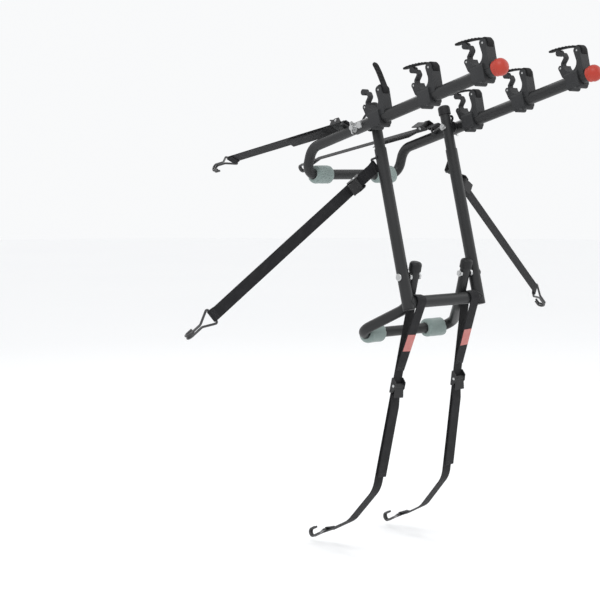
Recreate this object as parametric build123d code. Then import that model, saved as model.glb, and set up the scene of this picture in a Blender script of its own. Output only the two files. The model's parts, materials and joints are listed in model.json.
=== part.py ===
from build123d import *
from math import asin, atan2, cos, degrees, hypot, radians, sin, tan
import os

# Trunk mounted bike rack. Lengths in millimetres, +Z up, +Y toward the vehicle, +X across it.
# The origin is the middle of the padded upper rest bar, where the rack bears on the trunk lid.
# The rack is drawn upright round its hub axis and then leaned back by the stance angle.

# Stance
stance_angle = 15
hub_back = 187
hub_rise = 103

# Tube stock
main_tube = 25.4
slim_tube = 22.2
tube_wall = 1.5
telescope_gap = 0.1

# Clearances
running_gap = 0.05
part_gap = 0.3
cut_overrun = 2

# Places across the rack
upright_spacing = 212
hub_offset = 32
leg_spacer = 5.6
loop_spacing = 160

# Main frame
crossbar_drop = 377.4
post_height = 46
post_depth = 108
sleeve_drop = 50
cap_wall = 2
cap_length = 20
plug_lip = 3
plug_depth = 12

# Hub
pivot_bolt = 8
lock_bolt = 6
lock_radius = 20
lock_plate_thickness = 2.5
lock_plate_margin = 4.5
lock_plate_hub = 13
plate_block_width = 15
plate_block_height = 21
washer_radius = 9
washer_thickness = 1.5
bolt_head_height = 5
bolt_head_width = 13
dome_head_radius = 8
dome_head_height = 2.3
dome_share = 0.9
hexagon_round_share = 1.08
lock_head_radius = 6
lock_head_height = 2.6
wing_span = 27
wing_thickness = 3
wing_height = 9
wing_hub_radius = 5.5

# Carry arms and upper frame
arm_length = 392
arm_front = 28
arm_cap_length = 27
arm_cap_wall = 2.3
arm_cap_flare = 1.8
arm_cap_end = 9
upper_insert = 14
upper_reach = 174
upper_bend = 38
upper_bar_forward = 207
upper_bar_drop = 51
upper_corner = 26

# Lower frame
leg_pivot_drop = 323.5
leg_stub = 30
leg_length = 68
leg_bend = 38
lower_bar_forward = 133
lower_bar_drop = 418
lower_bar_width = 296
lower_corner = 21

# Foam pads
pad_diameter = 40
pad_bore_gap = 0.3
upper_pad_inner = 64
upper_pad_arc_share = 0.3
lower_pad_inner = 62
lower_pad_arc_share = 0.3

# Webbing
strap_width = 25.4
strap_thickness = 1.5
strap_fold = 12
fold_corner_share = 0.82
fold_square_share = 1.02
tail_offset = 5
tail_bend = 30

# Strap anchors and hooks
anchor_wire = 4.5
anchor_span = 34
anchor_corner = 4
top_anchor_forward = 56
top_anchor_height = 9
top_anchor_angle = 27
anchor_plate = 2.5
anchor_plate_length = 10
anchor_plate_drop = 2
side_anchor_drop = 82
side_anchor_forward = 21
side_anchor_out = 2
hook_wire = 5
hook_eye_width = 38
hook_corner = 3.5
hook_eye_length = 31
hook_length = 66
hook_throat = 17
hook_lip = 20
hook_spread = 6

# Strap runs, from anchor bar to hook bar
top_strap_run = 411
top_strap_angle = 4.7
top_buckle_at = 31
top_tail_length = 150
side_hook_out = 534
side_hook_forward = 78
side_hook_drop = 420
side_buckle_at = 62
lower_strap_angle = 10.8
lower_splay_angle = 3.4
lower_strap_drop = 417
lower_strap_under = 108
lower_strap_reach = 74
lower_strap_bend = 60
lower_first_angle = 32
lower_second_angle = 20
lower_sewn_at = 152
lower_tail_length = 186
tag_at = 88
tag_length = 38
tag_width = 22
tag_thickness = 0.8

# Cam buckles
buckle_length = 32
buckle_side = 1.8
buckle_floor = 1.5
buckle_height = 14
cam_radius = 5
cam_pin = 4
lever_length = 24
lever_thickness = 2.2
lever_rise = 14
cam_groove = 0.8
cam_grooves = 14

# Cradles
cradle_first = 46
cradle_end_margin = 51
cradle_rows = 3
collar_width = 33
collar_half_length = 16
collar_wall = 4
collar_corner = 7
foot_radius = 6
foot_offset = 10
foot_drop = 14.5
foot_width = 26
body_width = 25
saddle_radius = 17.5
saddle_floor = 5
body_front = 25
body_rear = 29
rear_post_width = 16
rear_hinge_back = 23
rear_hinge_height = 54
rear_ear_radius = 8
knuckle_radius = 11.5
knuckle_width = 16
front_hinge_forward = 25
front_hinge_height = 31.7
front_ear_radius = 5.5
buckle_boss_radius = 5
tongue_width = 12
tongue_thickness = 4.5
tongue_corner = 4
tongue_knob_radius = 6.5
tongue_rise = 33.3
tongue_sweep = 10.5
tongue_rise_shares = (0, 0.31, 0.58, 0.85, 1)
tongue_sweep_shares = (0, 0.05, 1, 0.76, -0.33)
rubber_length = 80
raised_rubber_length = 62
rubber_width = 15
rubber_thickness = 3.2
rubber_tooth = 1.4
rubber_pitch = 8.5
rubber_offset = 8.8
rubber_angle = 16
hinge_pin = 4
first_strap_angle = 62

# Worked out from the sizes above
main_radius = main_tube / 2
slim_radius = slim_tube / 2
upright_x = upright_spacing / 2
arm_x = upright_x + hub_offset
leg_x = upright_x - main_radius - leg_spacer - part_gap - slim_radius
loop_x = loop_spacing / 2
cradle_spacing = (arm_length - cradle_end_margin - cradle_first) / (cradle_rows - 1)
saddle_height = main_radius + saddle_floor + saddle_radius
lower_buckle_at = lower_sewn_at + buckle_length
strap_sit = strap_thickness / 2 + part_gap
leg_rest = main_radius + strap_thickness + 3 * part_gap + slim_radius
leg_lean = degrees(asin(leg_rest / (crossbar_drop - leg_pivot_drop)))
leg_down = (sin(radians(leg_lean)), -cos(radians(leg_lean)))
plate_in = arm_x - main_radius - part_gap - washer_thickness - part_gap - lock_plate_thickness
rack = Pos(0, -hub_back, hub_rise) * Rot(-stance_angle, 0, 0)

os.makedirs("parts", exist_ok=True)


def save(name, shapes):
    """Writes one sub-part, made of one solid or of several loose ones."""
    solids = [s for shape in shapes for s in shape.solids()]
    node = solids[0] if len(solids) == 1 else Compound(children=solids)
    node.label = name
    export_step(node, f"parts/{name}.step")


def both(shape):
    """The left piece and its mirror image on the right."""
    return [shape, mirror(shape, about=Plane.YZ)]


def say(label, *values):
    """Prints a place or a direction that the drawing works out."""
    print(label, *(round(v, 4) for value in values for v in value))


def along_x(radius, x_from, x_to, y=0, z=0):
    """A round bar that runs across the rack."""
    return Pos((x_from + x_to) / 2, y, z) * Rot(0, 90, 0) * Cylinder(radius, abs(x_to - x_from))


def along_y(radius, y_from, y_to, x=0, z=0):
    """A round bar that runs front to back."""
    return Pos(x, (y_from + y_to) / 2, z) * Rot(90, 0, 0) * Cylinder(radius, abs(y_to - y_from))


def upright_bar(radius, z_from, z_to, x=0, y=0):
    """A round bar that runs up."""
    return Pos(x, y, (z_from + z_to) / 2) * Cylinder(radius, abs(z_to - z_from))


def bent_tube(path, radius):
    """A tube of the shared wall along a bent path."""
    start = Plane(origin=path @ 0, z_dir=path % 0)
    return sweep(start * (Circle(radius) - Circle(radius - tube_wall)), path=path)


def bent_wire(path, radius):
    """A solid round bar along a bent path."""
    return sweep(Plane(origin=path @ 0, z_dir=path % 0) * Circle(radius), path=path)


def ribbon(path, width, thickness, across=(1, 0, 0)):
    """Flat stock along a bent path, its width along the given direction."""
    start = Plane(origin=path @ 0, x_dir=across, z_dir=path % 0)
    return sweep(start * Rectangle(width, thickness), path=path)


def strap_plane(start, end, outward):
    """A frame on a strap: x across its width, y along it, z out of its outer face."""
    run = (Vector(*end) - Vector(*start)).normalized()
    out = Vector(*outward)
    out = (out - run * out.dot(run)).normalized()
    return Plane(origin=start, x_dir=run.cross(out), z_dir=out)


# Main frame: uprights, crossbar, plugged-in posts


def upright(x):
    """The left upright, with holes for the leg pivot bolt."""
    tube = upright_bar(main_radius, -crossbar_drop - main_radius, -sleeve_drop, x)
    tube -= upright_bar(main_radius - tube_wall, -crossbar_drop - main_tube, 0, x)
    hole = along_x(pivot_bolt / 2 + running_gap, x - main_tube, x + main_tube, 0, -leg_pivot_drop)
    return tube - hole


def crossbar():
    """The bar between the uprights, coped to their round sides."""
    inner = upright_x
    bar = along_x(main_radius, -inner, inner, 0, -crossbar_drop)
    bar -= along_x(main_radius - tube_wall, -inner, inner, 0, -crossbar_drop)
    for x in (-inner, inner):
        bar -= upright_bar(main_radius, -crossbar_drop - main_tube, 0, x)
    return bar.solids().sort_by(SortBy.VOLUME)[-1]


def hub_post(x):
    """The slim post that plugs into the upright and carries the hub."""
    tube = upright_bar(slim_radius, -post_depth, post_height, x)
    tube -= upright_bar(slim_radius - tube_wall, -post_depth, post_height, x)
    return tube - along_x(pivot_bolt / 2 + running_gap, x - main_tube, x + main_tube)


def vinyl_cap(length):
    """A soft cap, open below, that stands on z = 0 with its closed end up."""
    radius = slim_radius + telescope_gap + cap_wall
    body = upright_bar(radius, 0, length)
    body = fillet(body.faces().sort_by(Axis.Z)[-1].edges(), radius / 2)
    return body - upright_bar(slim_radius + telescope_gap, 0, length - cap_wall)


def upright_plug(x):
    """The plastic plug in the open lower end of an upright."""
    end = -crossbar_drop - main_radius
    lip = upright_bar(main_radius, end - plug_lip, end, x)
    lip = fillet(lip.edges().sort_by(Axis.Z)[:1], plug_lip / 2)
    return lip + upright_bar(main_radius - tube_wall - telescope_gap, end, end + plug_depth, x)


# Hub: lock plates, blocks, washers, bolts


def lock_plate():
    """The left hub plate: a round eye and a quarter ring with the arc slot for the lock bolt."""
    reach = lock_radius + lock_bolt / 2 + part_gap + lock_plate_margin
    face = Plane(origin=(-plate_in, 0, 0), x_dir=(0, 1, 0), z_dir=(-1, 0, 0))
    sector = Circle(reach) & (Pos(reach / 2, -reach / 2) * Rectangle(reach, reach))
    end = Circle(reach - lock_radius)
    outline = Circle(lock_plate_hub) + sector + [Pos(lock_radius, 0) * end, Pos(0, -lock_radius) * end]
    half_slot = lock_bolt / 2 + part_gap
    ring = Circle(lock_radius + half_slot) - Circle(lock_radius - half_slot)
    slot = ring & (Pos(reach / 2, -reach / 2) * Rectangle(reach, reach))
    slot += [Pos(lock_radius, 0) * Circle(half_slot), Pos(0, -lock_radius) * Circle(half_slot)]
    outline -= slot
    outline -= Circle(pivot_bolt / 2 + running_gap)
    return extrude(face * outline, lock_plate_thickness)


def plate_block():
    """The block that is welded between the left post and its lock plate."""
    inner = upright_x + slim_radius / 2
    block = Box(plate_in - inner, plate_block_width, plate_block_height)
    block = Pos(-(plate_in + inner) / 2, 0, -telescope_gap) * block
    block -= upright_bar(slim_radius + running_gap, -post_depth, post_height, -upright_x)
    return block - along_x(pivot_bolt / 2 + running_gap, -plate_in - main_tube, -inner + main_tube)


def washer(x_from, x_to, z=0):
    """A ring round a pivot bolt."""
    ring = along_x(washer_radius, x_from, x_to, 0, z)
    return ring - along_x(pivot_bolt / 2 + running_gap, x_from - cut_overrun, x_to + cut_overrun, 0, z)


def hexagon(width, x_from, x_to, y=0, z=0):
    """A hexagonal bar that runs across the rack, its crisp corners turned off a little."""
    face = Plane(origin=(x_from, y, z), x_dir=(0, 1, 0), z_dir=(1, 0, 0))
    bar = extrude(face * RegularPolygon(width / 2, 6, major_radius=False), x_to - x_from)
    return bar & along_x(width / 2 * hexagon_round_share, x_from, x_to, y, z)


def dome_head(x_head, z):
    """The low dome of a carriage bolt, its flat side at x_head."""
    dome = along_x(dome_head_radius, x_head - dome_head_height, x_head, 0, z)
    rim = dome.faces().sort_by(Axis.X)[0].edges()
    return fillet(rim, dome_head_height * dome_share)


def bolt_and_nut(head, x_head, x_nut, z):
    """A pivot bolt from its head on the outer side to its nut on the inner side."""
    shank = along_x(pivot_bolt / 2, x_head, x_nut + bolt_head_height + cut_overrun, 0, z)
    nut = hexagon(bolt_head_width, x_nut, x_nut + bolt_head_height, 0, z)
    nut -= along_x(pivot_bolt / 2, x_nut - cut_overrun, x_nut + bolt_head_height + cut_overrun, 0, z)
    return [shank + head, nut]


def lock_bolt_set():
    """The left lock bolt and the wing nut on its outer end."""
    inner = -plate_in + part_gap
    outer = -arm_x - main_radius
    y = lock_radius
    bolt = along_x(lock_head_radius, inner, inner + lock_head_height, y)
    bolt += along_x(lock_bolt / 2, inner, outer - wing_height, y)
    seat = along_x(wing_span / 2 - wing_thickness, outer - wing_thickness / 2, outer, y)
    hub = along_x(wing_hub_radius, outer - wing_height, outer - wing_thickness / 2, y)
    blade = Box(wing_height - wing_thickness / 2, wing_thickness, wing_span)
    blade = fillet(blade.edges().filter_by(Axis.Y), wing_thickness)
    wings = hub + Pos(outer - wing_height / 2 - wing_thickness / 4, y, 0) * blade
    nut = seat + wings - along_x(lock_bolt / 2, outer - main_tube, outer + cut_overrun, y)
    return [bolt, nut]


# Carry arms and upper frame


def carry_arm():
    """The left carry arm, with holes for the pivot bolt and the lock bolt."""
    tube = along_y(main_radius, -arm_length, arm_front, -arm_x)
    tube -= along_y(slim_radius + telescope_gap, -arm_length, arm_front, -arm_x)
    return drill_hub(tube)


def drill_hub(tube):
    """The pivot and lock bolt holes that the arm and the upper frame share."""
    tube -= along_x(pivot_bolt / 2 + running_gap, -arm_x - main_tube, -arm_x + main_tube)
    return tube - along_x(lock_bolt / 2 + running_gap, -arm_x - main_tube, -arm_x + main_tube, lock_radius)


def arm_cap():
    """The red moulded cap over the left arm's outer end, flared like a stop."""
    inner = main_radius + telescope_gap
    outer = inner + arm_cap_wall
    flare = outer + arm_cap_flare
    end = -arm_length - arm_cap_end
    mouth = end + arm_cap_length
    outline = Polyline(
        (0, end), (outer / 2, end), (flare, end + arm_cap_end), (flare, end + 2 * arm_cap_end),
        (outer, end + 2 * arm_cap_end + arm_cap_flare), (outer, mouth), (inner, mouth),
        (inner, -arm_length), (0, -arm_length), (0, end),
    )
    body = revolve(make_face(outline), Axis.Y)
    return Pos(-arm_x, 0, 0) * body


def upper_path():
    """The centreline of the upper frame, from inside the left arm round to the right one."""
    left = [
        (-arm_x, -upper_insert, 0), (-arm_x, upper_reach, 0),
        (-arm_x, upper_bar_forward, -upper_bar_drop),
    ]
    right = [(arm_x, y, z) for _, y, z in reversed(left)]
    return FilletPolyline(*left, *right, radius=[upper_bend, upper_corner, upper_corner, upper_bend])


def lower_path():
    """The centreline of the lower frame, from the left leg's top round to the right one's."""
    top = (-leg_x, -leg_stub * leg_down[0], -leg_pivot_drop - leg_stub * leg_down[1])
    knee = (-leg_x, leg_length * leg_down[0], -leg_pivot_drop + leg_length * leg_down[1])
    foot = (-lower_bar_width / 2, lower_bar_forward, -lower_bar_drop)
    left = [top, knee, foot]
    right = [(-x, y, z) for x, y, z in reversed(left)]
    return FilletPolyline(*left, *right, radius=[leg_bend, lower_corner, lower_corner, leg_bend])


def upper_frame():
    """The U of slim tube that plugs into both arms and carries the upper pads."""
    tube = drill_hub(bent_tube(upper_path(), slim_radius))
    return mirror(drill_hub(mirror(tube, about=Plane.YZ)), about=Plane.YZ)


def lower_frame():
    """The U of slim tube that hangs on the uprights and carries the lower pads."""
    tube = bent_tube(lower_path(), slim_radius)
    return tube - along_x(pivot_bolt / 2 + running_gap, -upright_x, upright_x, 0, -leg_pivot_drop)


def foam_pad(path, inner, arc_share):
    """The left foam sleeve: along the bar from near its middle, and a little way round the bend."""
    edges = path.edges()
    bar = edges[len(edges) // 2]
    bend = edges[len(edges) // 2 - 1]
    half = bar.length / 2
    bend_part = bend.trim(1 - arc_share, 1)
    bar_part = bar.trim(0, (half - inner) / bar.length)
    line = Wire([bend_part, bar_part])
    start = Plane(origin=line @ 0, z_dir=line % 0)
    ring = Circle(pad_diameter / 2) - Circle(slim_radius + pad_bore_gap)
    return sweep(start * ring, path=line)


def leg_cap():
    """The vinyl cap on the top end of the left leg."""
    end = -leg_pivot_drop - leg_stub * leg_down[1]
    turn = Pos(-leg_x, -leg_stub * leg_down[0], end) * Rot(leg_lean, 0, 0)
    return turn * Pos(0, 0, cap_wall - cap_length) * vinyl_cap(cap_length)


# Webbing, its anchors, buckles and hooks


def anchor_staple(span, height):
    """A wire staple along x: its bar at z = 0 and its legs going down by the height."""
    half = span / 2
    points = [(-half, 0, -height), (-half, 0, 0), (half, 0, 0), (half, 0, -height)]
    return bent_wire(FilletPolyline(*points, radius=anchor_corner), anchor_wire / 2)


def top_anchor():
    """The strap staple on a small coped plate, welded on the inner side of the left arm's top."""
    low = slim_radius - anchor_plate_drop
    high = slim_radius + anchor_plate
    plate = Pos(0, 0, (low + high) / 2) * Box(anchor_span + anchor_wire, anchor_plate_length, high - low)
    plate = fillet(plate.edges().filter_by(Axis.Z), anchor_plate)
    plate -= along_y(slim_radius, -main_tube, main_tube)
    staple = Pos(0, 0, slim_radius + top_anchor_height) * anchor_staple(
        anchor_span, top_anchor_height - anchor_plate / 2)
    return Pos(-arm_x, top_anchor_forward, 0) * Rot(0, top_anchor_angle, 0) * (plate + staple)


def side_anchor():
    """The strap staple welded on the front of the left upright, square to its strap."""
    frame = side_plane()
    across = frame.x_dir
    half = across * (anchor_span / 2)
    bar = frame.origin
    back = Vector(0, -side_anchor_forward, 0)
    points = [bar - half + back, bar - half, bar + half, bar + half + back]
    wire = bent_wire(FilletPolyline(*points, radius=anchor_corner), anchor_wire / 2)
    wire -= upright_bar(main_radius + running_gap, -crossbar_drop, 0, -upright_x)
    solids = wire.solids()
    return solids.sort_by(SortBy.VOLUME)[-1]


def strap_hook():
    """A coated wire hook: eye bar along x at the origin, shank along y, throat below."""
    half = hook_eye_width / 2
    side = hook_spread / 2
    shoulder = hook_eye_length
    tip = hook_length - hook_lip
    right = [
        (half, 0, 0), (side, shoulder, 0), (side, hook_length, 0),
        (side, hook_length, -hook_throat), (side, tip, -hook_throat),
    ]
    left = [(-x, y, z) for x, y, z in reversed(right)]
    corner = hook_throat / 2 - part_gap
    radii = [corner, corner, hook_eye_length / 3, hook_corner]
    path = FilletPolyline(*left, *right, radius=radii + radii[::-1])
    return bent_wire(path, hook_wire / 2)


def fold_size(bar_radius):
    """How far a folded strap's middle stands off the middle of the bar that it goes round."""
    return bar_radius + strap_sit


def fold_corner(y, z, stand):
    """Where a strand from a sewn end meets the fold's back, as (y, z), when it just clears the bar.

    The bar is at the origin, the sewn end is at (y, z), and the strand goes past the bar's low side.
    """
    lean = tan(asin(stand / hypot(y, z)) + atan2(z, y))
    back = -fold_square_share * stand
    return back, z - lean * (y - back)


def tie_strap(run, skew=0):
    """A strap between an anchor bar at the origin and a hook bar down the y axis.

    A strap that leaves its anchor a little askew stands off the bar by that skew at its edges.
    """
    near = fold_size(anchor_wire / 2)
    far = fold_size(hook_wire / 2)
    inset = strap_thickness + part_gap
    back, low = fold_corner(strap_fold, near - inset, near + skew)
    front, deep = fold_corner(strap_fold, far - inset, far)
    points = [
        (0, strap_fold, near - inset), (0, back, low), (0, back, near),
        (0, run - front, far), (0, run - front, deep), (0, run - strap_fold, far - inset),
    ]
    radii = [fold_corner_share * near] * 2 + [fold_corner_share * far] * 2
    return ribbon(FilletPolyline(*points, radius=radii), strap_width, strap_thickness)


def loose_tail(start, length, side):
    """A strap's loose end: it leaves the buckle beside the strap and stands off to one side."""
    height = side * (strap_thickness + 2 * part_gap)
    off = height + side * tail_offset
    points = [(0, start, height), (0, start + tail_bend, off), (0, start + length, off)]
    return ribbon(FilletPolyline(*points, radius=tail_bend), strap_width, strap_thickness)


def lower_strap_points():
    """Points of a lower strap in its own frame, from its sewn end to the hook's fold.

    The splay turns the strap a little from the crossbar, so its loop stands off by that skew.
    """
    stand = fold_size(main_radius)
    inset = strap_thickness + part_gap
    skew = strap_width / 2 * sin(radians(lower_splay_angle))
    back, high = fold_corner(lower_sewn_at, stand - inset, stand + skew)
    points = [(lower_sewn_at, inset - stand), (back, -high), (back, -stand)]
    radii = [fold_corner_share * stand] * 2
    y, z, turn = 0, -stand, 0
    runs = (lower_strap_drop, lower_strap_under, lower_strap_reach)
    for run, more in zip(runs, (lower_first_angle, lower_second_angle, 0)):
        y += run * cos(radians(turn))
        z -= run * sin(radians(turn))
        if more:
            points.append((y, z))
            radii.append(lower_strap_bend)
            turn += more
    return points, radii, (y, z, turn)


def lower_strap():
    """A lower strap: a loop round the crossbar, a long drop, and a turn under the bumper."""
    points, radii, (y, z, turn) = lower_strap_points()
    far = fold_size(hook_wire / 2)
    inset = strap_thickness + part_gap
    ahead = Vector(0, cos(radians(turn)), -sin(radians(turn)))
    out = Vector(0, sin(radians(turn)), cos(radians(turn)))
    last = Vector(0, y, z)
    front, deep = fold_corner(strap_fold, far - inset, far)
    corner = last - ahead * front
    fold = [corner, corner - out * (far - deep), last - ahead * strap_fold - out * inset]
    line = [Vector(0, *p) for p in points] + fold
    path = FilletPolyline(*line, radius=radii + [fold_corner_share * far] * 2)
    return ribbon(path, strap_width, strap_thickness)


def lower_hook_place():
    """The hook bar's place at the end of a lower strap, in the strap's own frame."""
    _, _, (y, z, turn) = lower_strap_points()
    far = fold_size(hook_wire / 2)
    return Pos(0, y - far * sin(radians(turn)), z - far * cos(radians(turn))) * Rot(-turn, 0, 0)


def buckle_body():
    """A cam buckle's frame: floor under the strap, two cheeks and a front bar."""
    inner = strap_width / 2 + part_gap
    outer = inner + buckle_side
    floor_top = -strap_sit
    low = floor_top - buckle_floor
    floor = Pos(0, 0, (low + floor_top) / 2) * Box(2 * outer, buckle_length, buckle_floor)
    cheek_line = Polyline(
        (-buckle_length / 2, low), (buckle_length / 2, low), (buckle_length / 2, low + buckle_height / 2),
        (buckle_length / 6, low + buckle_height), (-buckle_length / 4, low + buckle_height),
        (-buckle_length / 2, low + buckle_height / 3), (-buckle_length / 2, low),
    )
    body = floor
    for x in (-outer, inner):
        side = Plane(origin=(x, 0, 0), x_dir=(0, 1, 0), z_dir=(1, 0, 0))
        body += extrude(side * make_face(cheek_line), buckle_side)
    body += along_x(cam_pin / 2 - running_gap, -outer, outer, 0, cam_axis_height())
    return body


def cam_axis_height():
    """The cam pin's height over the middle of the strap."""
    return strap_sit + cam_radius


def cam_lever():
    """A cam buckle's lever: a grooved drum on the pin and a thumb tab along y."""
    width = strap_width - part_gap
    drum = Circle(cam_radius)
    for i in range(cam_grooves):
        turn = 360 * i / cam_grooves
        drum -= Rot(0, 0, turn) * Pos(cam_radius, 0) * Rot(0, 0, 45) * Rectangle(cam_groove, cam_groove)
    drum -= Circle(cam_pin / 2)
    root = cam_radius / 2
    tab_line = Line((root, cam_radius / 2), (lever_length, cam_radius / 2 + lever_rise / 3))
    side = Plane(origin=(-width / 2, 0, cam_axis_height()), x_dir=(0, 1, 0), z_dir=(1, 0, 0))
    lever = extrude(side * drum, width) + extrude(side * trace(tab_line, lever_thickness), width)
    return lever - along_x(cam_pin / 2, -width, width, 0, cam_axis_height())


def strap_tag():
    """A plain cloth tag sewn flat on the outer strand of a lower strap loop."""
    points, _, _ = lower_strap_points()
    (sewn_y, sewn_z), (fold_y, fold_z) = points[0], points[1]
    z = sewn_z + (fold_z - sewn_z) * (tag_at - sewn_y) / (fold_y - sewn_y)
    slope = degrees(atan2(sewn_z - fold_z, sewn_y - fold_y))
    body = Box(tag_width, tag_length, tag_thickness)
    lift = strap_thickness / 2 + part_gap + tag_thickness / 2
    return Pos(0, tag_at, z) * Rot(slope, 0, 0) * Pos(0, 0, lift) * body


def top_plane():
    """The left top strap's frame, in the upright rack."""
    roll = radians(top_anchor_angle)
    stand = slim_radius + top_anchor_height
    bar = Vector(-arm_x + stand * sin(roll), top_anchor_forward, stand * cos(roll))
    rise = radians(top_strap_angle)
    run = Vector(0, cos(rise), sin(rise))
    return strap_plane(bar, bar + run, Vector(cos(roll), 0, -sin(roll)).cross(run))


def side_plane():
    """The left side strap's frame, in the upright rack, aimed at its hook on the trunk's side."""
    bar = Vector(-upright_x - side_anchor_out, side_anchor_forward, -side_anchor_drop)
    lean = radians(stance_angle)
    end = Vector(
        -side_hook_out,
        side_hook_forward * cos(lean) + side_hook_drop * sin(lean),
        side_hook_forward * sin(lean) - side_hook_drop * cos(lean),
    )
    return strap_plane(bar, end, (0, -1, 0))


def side_strap_run():
    """The side strap's length from its anchor bar to its hook bar."""
    bar = side_plane().origin
    lean = radians(stance_angle)
    y = side_hook_forward * cos(lean) + side_hook_drop * sin(lean)
    z = side_hook_forward * sin(lean) - side_hook_drop * cos(lean)
    return (Vector(-side_hook_out, y, z) - bar).length - hook_length


def lower_plane():
    """The left lower strap's frame, in the upright rack, on the crossbar's middle line."""
    bar = Vector(-loop_x, 0, -crossbar_drop)
    lean = radians(stance_angle + lower_strap_angle)
    splay = sin(radians(lower_splay_angle))
    return strap_plane(bar, bar + Vector(-splay, sin(lean), -cos(lean)), (0, -cos(lean), -sin(lean)))


# Cradles, drawn round the arm's middle line at the origin, y toward the vehicle


def cradle_base():
    """The moulded base: collar round the arm, saddle, rear post and front ears."""
    top = main_radius + saddle_floor
    bottom = -main_radius - collar_wall
    collar = Pos(0, 0, (top + bottom) / 2) * Box(collar_width, 2 * collar_half_length, top - bottom)
    collar = fillet(collar.edges().filter_by(Axis.Y), collar_corner)
    for y in (-foot_offset, foot_offset):
        collar += along_x(foot_radius, -foot_width / 2, foot_width / 2, y, -foot_drop)
    back = rear_hinge_back + rear_ear_radius
    line = Polyline(
        (-body_rear, 0), (-back, rear_hinge_height), (-back + rear_post_width, rear_hinge_height),
        (-saddle_radius, saddle_height), (saddle_radius, saddle_height),
        (front_hinge_forward, front_hinge_height + front_ear_radius),
        (front_hinge_forward + front_ear_radius, front_hinge_height),
        (body_front, main_radius), (body_front / 2, 0), (-body_rear, 0),
    )
    outline = make_face(line)
    outline += Pos(-rear_hinge_back, rear_hinge_height) * Circle(rear_ear_radius)
    outline += Pos(front_hinge_forward, front_hinge_height) * Circle(front_ear_radius)
    outline -= Pos(0, saddle_height) * Circle(saddle_radius)
    side = Plane(origin=(-body_width / 2, 0, 0), x_dir=(0, 1, 0), z_dir=(1, 0, 0))
    base = collar + extrude(side * outline, body_width)
    rear_slot = knuckle_width / 2 + part_gap
    front_slot = tongue_width / 2 + part_gap
    base -= along_x(knuckle_radius + 2 * part_gap, -rear_slot, rear_slot,
                    -rear_hinge_back, rear_hinge_height)
    base -= along_x(front_ear_radius + 2 * part_gap, -front_slot, front_slot,
                    front_hinge_forward, front_hinge_height)
    for y, z in ((-rear_hinge_back, rear_hinge_height), (front_hinge_forward, front_hinge_height)):
        base -= along_x(hinge_pin / 2, -collar_width, collar_width, y, z)
    base -= along_y(main_radius + telescope_gap, -main_tube * 2, main_tube * 2)
    return base


def cradle_pins():
    """The two steel hinge pins of one cradle."""
    half = body_width / 2
    places = ((-rear_hinge_back, rear_hinge_height), (front_hinge_forward, front_hinge_height))
    return [along_x(hinge_pin / 2, -half, half, y, z) for y, z in places]


def rubber_strap(length):
    """The ladder strap: a knuckle on the rear pin and a toothed rubber strip of the given reach."""
    knuckle = along_x(knuckle_radius, -knuckle_width / 2, knuckle_width / 2)
    low = rubber_offset - rubber_thickness / 2
    high = rubber_offset + rubber_thickness / 2
    teeth = []
    for i in range(int((length - knuckle_radius) / rubber_pitch)):
        y = knuckle_radius + i * rubber_pitch
        teeth += [(y, high), (y + rubber_pitch / 4, high + rubber_tooth), (y + rubber_pitch / 2, high)]
    line = Polyline((0, low), (0, high), *teeth, (length, high), (length, low), (0, low))
    side = Plane(origin=(-rubber_width / 2, 0, 0), x_dir=(0, 1, 0), z_dir=(1, 0, 0))
    strip = extrude(side * make_face(line), rubber_width)
    strap = knuckle + strip - along_x(hinge_pin / 2 + running_gap, -collar_width, collar_width)
    return Pos(0, -rear_hinge_back, rear_hinge_height) * Rot(rubber_angle, 0, 0) * strap


def tongue_places():
    """The bends of the curved buckle as (y, z), from its pin to its knob."""
    y, z = front_hinge_forward, front_hinge_height
    steps = zip(tongue_sweep_shares, tongue_rise_shares)
    return [(y - tongue_sweep * a, z + tongue_rise * b) for a, b in steps]


def tongue_buckle():
    """The curved front buckle: a boss on the front pin, a bent tongue and a round knob."""
    path = FilletPolyline(*[(0, y, z) for y, z in tongue_places()], radius=tongue_corner)
    body = ribbon(path, tongue_width, tongue_thickness)
    half = tongue_width / 2
    body += along_x(buckle_boss_radius, -half, half, front_hinge_forward, front_hinge_height)
    body += along_x(tongue_knob_radius, -half, half, *tongue_places()[-1])
    return body - along_x(hinge_pin / 2 + running_gap, -collar_width, collar_width,
                          front_hinge_forward, front_hinge_height)


def about_x(shape, y, z, angle):
    """Turns a shape about a line across the rack."""
    return Pos(0, y, z) * Rot(angle, 0, 0) * Pos(0, -y, -z) * shape


# Sub-parts of the main frame

for side, x in (("left", -upright_x), ("right", upright_x)):
    save(f"upright_{side}", [rack * upright(x)])
save("crossbar", [rack * crossbar()])
save("hub_posts", [rack * hub_post(x) for x in (-upright_x, upright_x)])
post_cap = Pos(-upright_x, 0, post_height + cap_wall - cap_length) * vinyl_cap(cap_length)
save("post_caps", [rack * s for s in both(post_cap)])
save("upright_plugs", [rack * upright_plug(x) for x in (-upright_x, upright_x)])
save("lock_plates", [rack * s for s in both(lock_plate() + plate_block())])

washer_out = -arm_x + main_radius + part_gap
hub_washer = washer(washer_out, washer_out + washer_thickness)
leg_washer = washer(-upright_x + main_radius, -leg_x - slim_radius - part_gap, -leg_pivot_drop)
save("pivot_washers", [rack * s for w in (hub_washer, leg_washer) for s in both(w)])

hub_out = -arm_x - main_radius - part_gap
hub_head = hexagon(bolt_head_width, hub_out - bolt_head_height, hub_out)
hub_set = bolt_and_nut(hub_head, hub_out, -upright_x + slim_radius, 0)
leg_out = -upright_x - main_radius
leg_in = -leg_x + slim_radius + part_gap
leg_set = bolt_and_nut(dome_head(leg_out, -leg_pivot_drop), leg_out, leg_in, -leg_pivot_drop)
save("pivot_bolts", [rack * s for piece in hub_set + leg_set for s in both(piece)])

# Sub-parts that turn with the arms

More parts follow.
